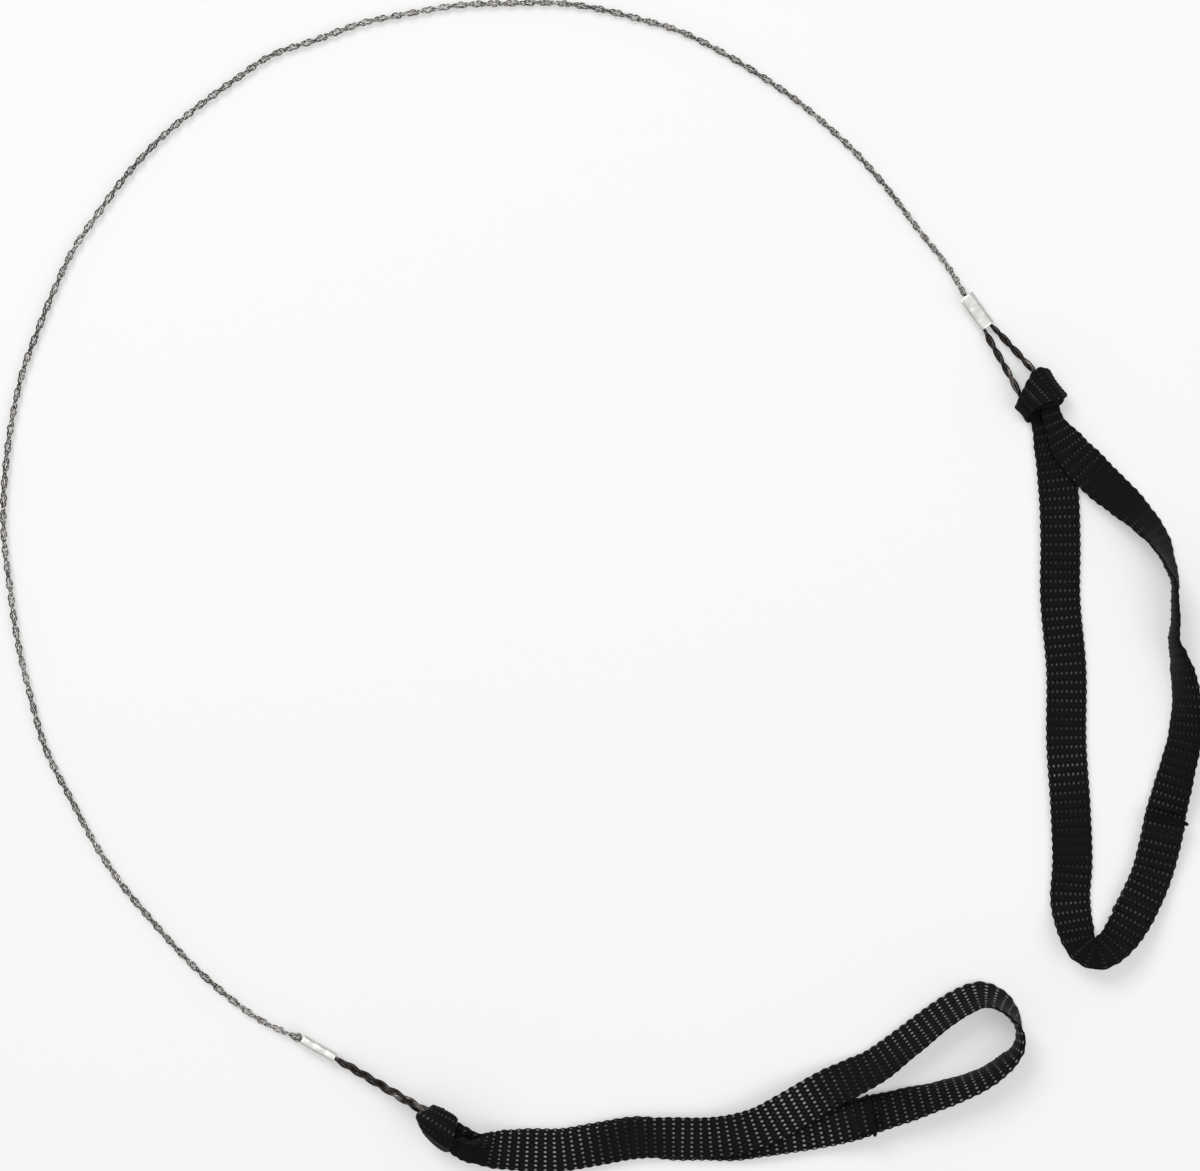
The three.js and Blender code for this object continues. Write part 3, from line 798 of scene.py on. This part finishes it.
class Look:
    """One material, its constants and the steps that the materials share."""

    def __init__(self, name, constants):
        self.material = bpy.data.materials.new(name)
        self.material.use_nodes = True
        self.nodes, self.links = self.material.node_tree.nodes, self.material.node_tree.links
        self.shader = self.nodes["Principled BSDF"]
        for socket, value in constants.items():
            self.shader.inputs[socket].default_value = value

    def coordinates(self):
        return self.nodes.new("ShaderNodeTexCoord").outputs["Object"]

    def crown(self):
        made = self.nodes.new("ShaderNodeAttribute")
        made.attribute_name = "crown"
        return made.outputs["Fac"]

    def place(self):
        made = self.nodes.new("ShaderNodeUVMap")
        made.uv_map = "place"
        return made.outputs["UV"]

    def noise(self, source, scale, detail, stretch=(1, 1, 1)):
        mapping = self.nodes.new("ShaderNodeMapping")
        mapping.inputs["Scale"].default_value = stretch
        self.links.new(source, mapping.inputs["Vector"])
        made = self.nodes.new("ShaderNodeTexNoise")
        made.inputs["Scale"].default_value = scale
        made.inputs["Detail"].default_value = detail
        self.links.new(mapping.outputs["Vector"], made.inputs["Vector"])
        return made.outputs["Fac"]

    def arithmetic(self, operation, a, b):
        """The result for a and b, each a socket or a number."""
        made = self.nodes.new("ShaderNodeMath")
        made.operation = operation
        for socket, value in zip(made.inputs, (a, b)):
            if isinstance(value, float):
                socket.default_value = value
            else:
                self.links.new(value, socket)
        return made.outputs["Value"]

    def span(self, value, low, high):
        made = self.nodes.new("ShaderNodeMapRange")
        made.inputs["To Min"].default_value = low
        made.inputs["To Max"].default_value = high
        self.links.new(value, made.inputs["Value"])
        return made.outputs["Result"]

    def complete(self, colour, roughness, bump):
        """Joins a value and its colour stops, a value and its range, a height and its distance."""
        steering, stops = colour
        colours = ramp(self.nodes, stops)
        self.links.new(steering, colours.inputs["Fac"])
        self.links.new(colours.outputs["Color"], self.shader.inputs["Base Color"])
        self.links.new(self.span(*roughness), self.shader.inputs["Roughness"])
        height, distance = bump
        made = self.nodes.new("ShaderNodeBump")
        made.inputs["Strength"].default_value = 1.0
        made.inputs["Distance"].default_value = distance
        self.links.new(height, made.inputs["Height"])
        self.links.new(made.outputs["Normal"], self.shader.inputs["Normal"])
        return self.material


def webbing_material():
    """Black nylon, steered by the float crowns: painted shade between the floats and a painted highlight on
    each float.
    """
    look = Look("nylon_webbing", {"Sheen Weight": 0.02, "Specular IOR Level": 0.06})
    place = look.coordinates()
    glint_spread = look.noise(place, 42, 2.0)
    patchy = look.noise(place, 900, 3.0)
    fibres = look.noise(look.place(), 9000, 4.0, stretch=(0.25, 1.6, 1))
    # Two noises vary the strength of the painted float highlight from place to place.
    lit = look.arithmetic("MULTIPLY", look.crown(), look.span(glint_spread, -0.35, 2.1))
    lit = look.arithmetic("MULTIPLY", lit, look.span(patchy, 0.55, 1.35))
    stops = [(0.0, (0.0028, 0.0028, 0.003)), (0.30, (0.0075, 0.0072, 0.007)),
             (0.62, (0.060, 0.059, 0.060)), (1.0, (0.27, 0.27, 0.275))]
    return look.complete((lit, stops), (fibres, 0.42, 0.72), (fibres, 0.00006))


def thread_material():
    """Black sewing thread."""
    look = Look("stitch_thread", {"Specular IOR Level": 0.15})
    twist = look.noise(look.coordinates(), 5200, 3.0)
    stops = [(0.3, (0.003, 0.003, 0.0035)), (0.75, (0.012, 0.012, 0.013))]
    return look.complete((twist, stops), (twist, 0.45, 0.75), (twist, 0.00004))


def saw_material():
    """Drawn steel, bright in places and stained in others."""
    look = Look("saw_steel", {"Metallic": 1.0})
    place = look.coordinates()
    stain = look.noise(place, 1500, 4.0)
    broad = look.noise(place, 35, 2.0)
    drawn = look.noise(look.place(), 6000, 3.0, stretch=(0.1, 2.0, 1))
    mixed = look.arithmetic("ADD", look.arithmetic("MULTIPLY", stain, 0.75),
                            look.arithmetic("MULTIPLY", broad, 0.25))
    stops = [(0.32, (0.030, 0.025, 0.021)), (0.46, (0.085, 0.076, 0.068)),
             (0.57, (0.42, 0.40, 0.37)), (0.70, (0.85, 0.83, 0.80))]
    return look.complete((mixed, stops), (stain, 0.22, 0.50), (drawn, 0.00002))


def eye_material():
    """Dark, glossy, heat-stained strands, with a painted highlight along the spiral ridges and exposed steel
    on one strand near the bow.
    """
    look = Look("eye_steel", {"Metallic": 0.85})
    place = look.coordinates()
    stain = look.noise(place, 420, 4.0)
    paleness = look.arithmetic("MULTIPLY", look.crown(), look.span(stain, 0.1, 1.2))
    stops = [(0.16, (0.010, 0.009, 0.008)), (0.38, (0.026, 0.021, 0.018)),
             (0.55, (0.12, 0.105, 0.095)), (0.70, (0.62, 0.60, 0.57))]
    return look.complete((paleness, stops), (stain, 0.18, 0.42), (look.noise(place, 5000, 3.0), 0.00002))


def sleeve_material():
    """Satin aluminium with draw lines along it and faint grey handling marks."""
    look = Look("sleeve_aluminium", {"Metallic": 1.0})
    marks = look.noise(look.coordinates(), 520, 4.0)
    lines = look.noise(look.place(), 4200, 3.0, stretch=(0.08, 2.0, 1))
    stops = [(0.25, (0.66, 0.65, 0.62)), (0.5, (0.78, 0.77, 0.74)), (0.8, (0.84, 0.83, 0.80))]
    return look.complete((marks, stops), (lines, 0.24, 0.46), (lines, 0.00003))


# ---- making ----

make_camera()
saw_wire = make_saw_wire()

MATERIALS = {
    "saw_steel": saw_material(),
    "sleeve_aluminium": sleeve_material(),
    "eye_steel": eye_material(),
    "nylon_webbing": webbing_material(),
    "stitch_thread": thread_material(),
}


def dress(piece, body, slot):
    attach(piece, body)
    piece.data.materials.append(MATERIALS[slot])


dress(saw_wire, "saw", "saw_steel")
for letter in "ab":
    dress(make_sleeve(letter), "saw", "sleeve_aluminium")
    dress(make_eye(letter), "saw", "eye_steel")

STRAPS = {"a": (HANDLE_A_INWARD, HANDLE_A_OUTWARD), "b": (HANDLE_B_INWARD, HANDLE_B_OUTWARD)}
draw = random.Random(FRAY_SEED)
for letter, (inward, outward) in STRAPS.items():
    strap = make_strap(letter, inward, outward)
    strap.data.materials.append(MATERIALS["nylon_webbing"])
    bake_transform(strap)
    make_tacks(letter, outward)
    fray = make_frays(letter, [(inward, 0.0, -1), (outward, 1.0, 1)], draw)
    dress(fray, f"handle_{letter}", "nylon_webbing")


# ---- floor and light ----

def make_floor():
    bpy.ops.mesh.primitive_plane_add(size=FLOOR_SIZE, location=(*VIEW_CENTRE, FLOOR_Z))
    floor = bpy.context.object
    floor.name = "floor"
    look = Look("floor", {
        "Base Color": (FLOOR_GREY, FLOOR_GREY, FLOOR_GREY, 1), "Roughness": 1.0, "Specular IOR Level": 0.0,
        "Emission Color": (1, 1, 1, 1), "Emission Strength": FLOOR_GLOW,
    })
    floor.data.materials.append(look.material)


def make_light(name, place, size, power):
    data = bpy.data.lights.new(name, "AREA")
    data.energy, data.size = power, size
    light = bpy.data.objects.new(name, data)
    light.location = place
    aim = Vector((*VIEW_CENTRE, 0)) - Vector(place)
    light.rotation_euler = aim.to_track_quat("-Z", "Y").to_euler()
    bpy.context.collection.objects.link(light)


def make_studio():
    """A soft sky, brightest overhead and a little dimmer at the horizon."""
    world = bpy.data.worlds.new("studio")
    world.use_nodes = True
    nodes, links = world.node_tree.nodes, world.node_tree.links
    place = nodes.new("ShaderNodeTexCoord")
    split = nodes.new("ShaderNodeSeparateXYZ")
    stops = [(0.0, (0.62, 0.62, 0.625)), (0.55, (0.66, 0.66, 0.665)), (1.0, (1.0, 1.0, 1.0))]
    colours = ramp(nodes, stops)
    links.new(place.outputs["Generated"], split.inputs["Vector"])
    links.new(split.outputs["Z"], colours.inputs["Fac"])
    links.new(colours.outputs["Color"], nodes["Background"].inputs["Color"])
    nodes["Background"].inputs["Strength"].default_value = SKY_STRENGTH
    bpy.context.scene.world = world


make_floor()
make_light("key", (-0.55, 0.75, 1.15), size=0.7, power=11)
make_light("fill", (0.75, -0.35, 1.05), size=0.9, power=5)
make_studio()
bpy.context.scene.view_settings.view_transform = "Standard"
